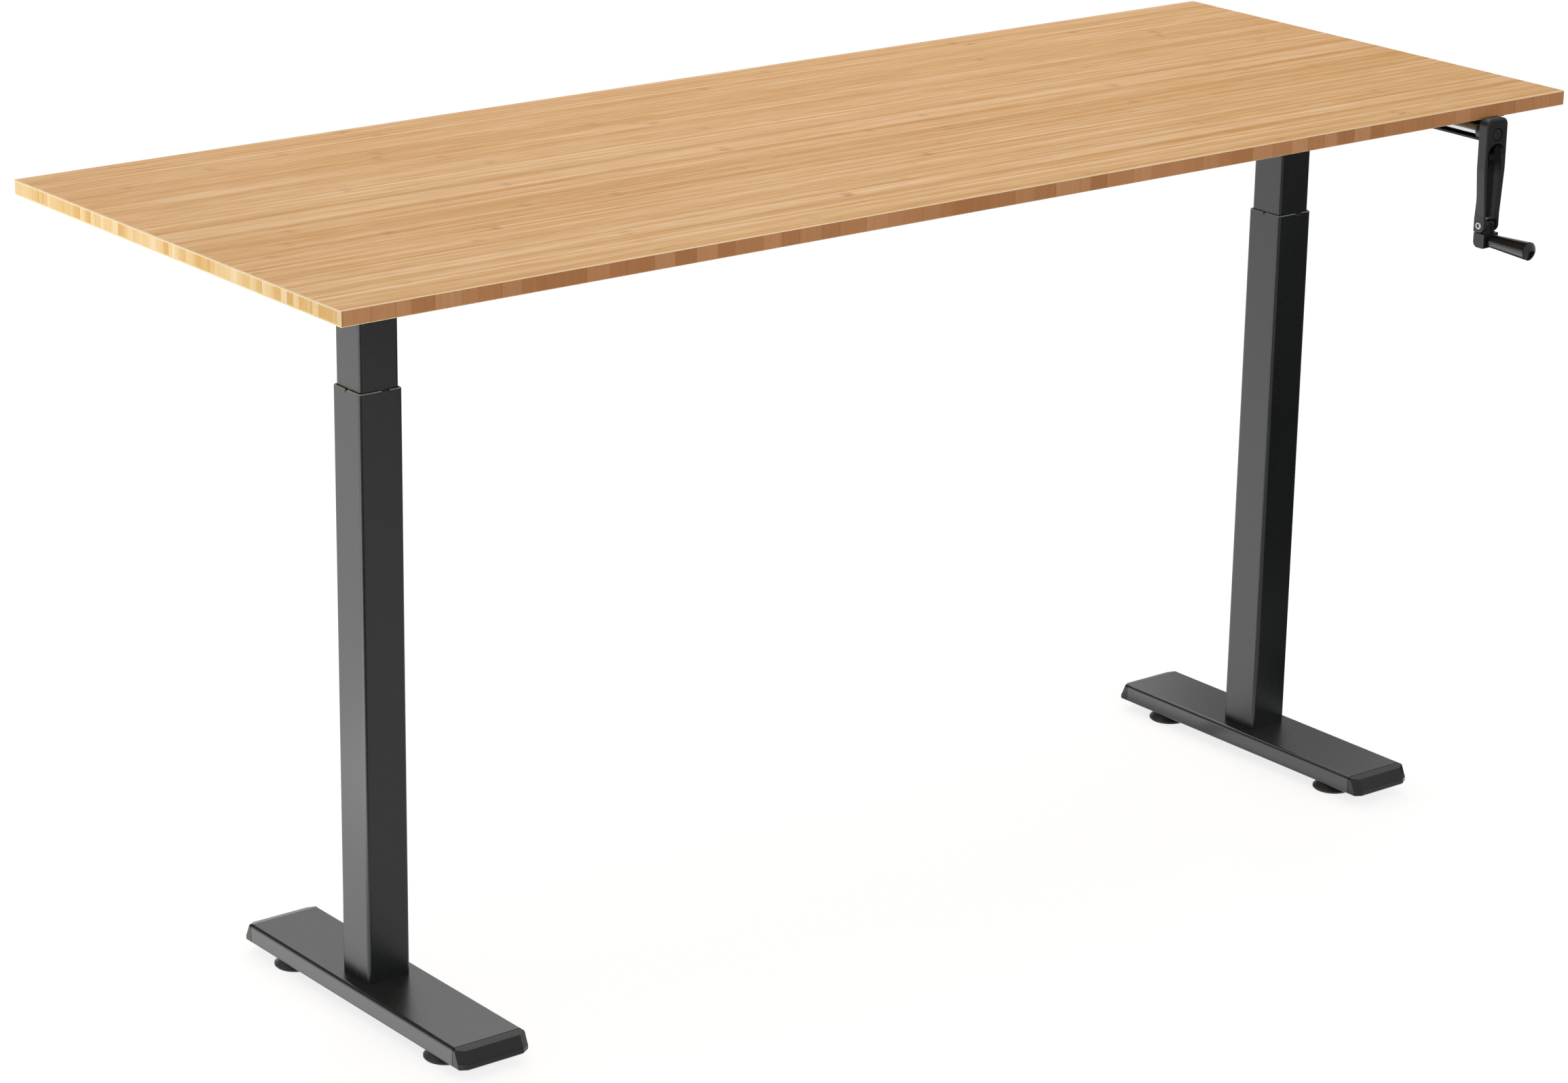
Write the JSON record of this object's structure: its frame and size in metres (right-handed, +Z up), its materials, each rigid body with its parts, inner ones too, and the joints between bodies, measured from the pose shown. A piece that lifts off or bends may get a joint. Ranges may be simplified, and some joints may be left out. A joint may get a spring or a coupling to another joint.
{
  "type": "height adjustable standing desk",
  "caption": "Hand-cranked standing desk: a bamboo top on telescopic steel legs, lifted by screws that a folding crank turns through a cross shaft.",
  "frame": {"origin": "on the floor under the middle of the desk's whole outline, crank included", "axes": "+X along the desk to the crank end, +Y to the back, +Z up"},
  "size_m": [1.6, 0.6809, 0.829],
  "materials": {
    "bamboo": "clear satin lacquer over bamboo strips",
    "powder_coat": "fine satin charcoal powder coat",
    "moulded_black": "fine moulded texture",
    "glide_plastic": "plain moulded plastic",
    "grip_plastic": "polished moulded plastic",
    "nylon": "plain moulded nylon",
    "steel": "bright zinc plate",
    "cast_alloy": "die-cast",
    "bronze": "sintered bronze"
  },
  "bodies": {
    "left_base": {"left_foot_tube": "powder_coat", "left_front_foot_cap": "moulded_black", "left_rear_foot_cap": "moulded_black", "left_outer_column": "powder_coat", "left_guide_sleeve": "nylon", "left_base_plate": "steel", "left_foot_bolts": "steel", "left_nut_tube": "steel", "left_lead_nut": "nylon"},
    "right_base": {"right_foot_tube": "powder_coat", "right_front_foot_cap": "moulded_black", "right_rear_foot_cap": "moulded_black", "right_outer_column": "powder_coat", "right_guide_sleeve": "nylon", "right_base_plate": "steel", "right_foot_bolts": "steel", "right_nut_tube": "steel", "right_lead_nut": "nylon"},
    "desk": {"tabletop": "bamboo", "tabletop_screws": "steel", "left_inner_column": "powder_coat", "left_column_shoe": "nylon", "left_gear_housing": "cast_alloy", "left_housing_cover": "cast_alloy", "left_side_bracket": "powder_coat", "right_inner_column": "powder_coat", "right_column_shoe": "nylon", "right_gear_housing": "cast_alloy", "right_housing_cover": "cast_alloy", "right_side_bracket": "powder_coat", "gear_bushes": "bronze", "screw_bearings": "steel", "cover_screws": "steel", "housing_bolts": "steel", "front_rail": "powder_coat", "rear_rail": "powder_coat", "rail_bolts": "steel", "crank_support": "powder_coat", "rod_bush": "moulded_black"},
    "left_screw": {"left_lead_screw": "steel", "left_screw_gear": "steel"},
    "right_screw": {"right_lead_screw": "steel", "right_screw_gear": "steel"},
    "shaft": {"cross_shaft": "steel", "left_shaft_gear": "steel", "right_shaft_gear": "steel", "crank_shaft_gear": "steel"},
    "crank": {"crank_rod": "steel", "crank_pinion": "steel", "crank_arm": "moulded_black", "arm_plug": "moulded_black", "hinge_screw": "steel"},
    "fold": {"fold_block": "moulded_black", "grip_spindle": "steel"},
    "handle": {"grip": "grip_plastic"},
    "left_front_leveller": {"left_front_glide": "glide_plastic"},
    "left_rear_leveller": {"left_rear_glide": "glide_plastic"},
    "right_front_leveller": {"right_front_glide": "glide_plastic"},
    "right_rear_leveller": {"right_rear_glide": "glide_plastic"}
  },
  "joints": [
    {"name": "lift", "type": "slide", "parent": "left_base", "child": "desk", "axis": [0, 0, 1], "range_m": [-0.115, 0.335]},
    {"name": "right_lift", "type": "slide", "parent": "desk", "child": "right_base", "axis": [0, 0, -1], "range_m": [-0.115, 0.335]},
    {"name": "left_screw_turn", "type": "hinge", "parent": "desk", "child": "left_screw", "pos_m": [-0.595, 0.0185, 0.799], "axis": [0, 0, 1], "continuous": true},
    {"name": "right_screw_turn", "type": "hinge", "parent": "desk", "child": "right_screw", "pos_m": [0.645, 0.0185, 0.799], "axis": [0, 0, 1], "continuous": true},
    {"name": "shaft_turn", "type": "hinge", "parent": "desk", "child": "shaft", "pos_m": [0, 0.0185, 0.799], "axis": [1, 0, 0], "continuous": true},
    {"name": "crank_turn", "type": "hinge", "parent": "desk", "child": "crank", "pos_m": [0.675, 0.0185, 0.799], "axis": [0, 1, 0], "continuous": true},
    {"name": "grip_fold", "type": "hinge", "parent": "crank", "child": "fold", "pos_m": [0.675, -0.2705, 0.697], "axis": [-1, 0, 0], "range_deg": [0, 90]},
    {"name": "grip_spin", "type": "hinge", "parent": "fold", "child": "handle", "pos_m": [0.675, -0.2705, 0.6801], "axis": [0, 1, 0], "continuous": true},
    {"name": "left_front_level", "type": "slide", "parent": "left_base", "child": "left_front_leveller", "axis": [0, 0, -1], "range_m": [0, 0.01]},
    {"name": "left_rear_level", "type": "slide", "parent": "left_base", "child": "left_rear_leveller", "axis": [0, 0, -1], "range_m": [0, 0.01]},
    {"name": "right_front_level", "type": "slide", "parent": "right_base", "child": "right_front_leveller", "axis": [0, 0, -1], "range_m": [0, 0.01]},
    {"name": "right_rear_level", "type": "slide", "parent": "right_base", "child": "right_rear_leveller", "axis": [0, 0, -1], "range_m": [0, 0.01]}
  ],
  "couplings": [
    {"joint": "right_lift", "follows": "lift", "ratio": 1},
    {"joint": "left_screw_turn", "follows": "lift", "rad_per_m": 785.4},
    {"joint": "right_screw_turn", "follows": "lift", "rad_per_m": 785.4},
    {"joint": "shaft_turn", "follows": "lift", "rad_per_m": -785.4},
    {"joint": "crank_turn", "follows": "lift", "rad_per_m": 785.4}
  ]
}
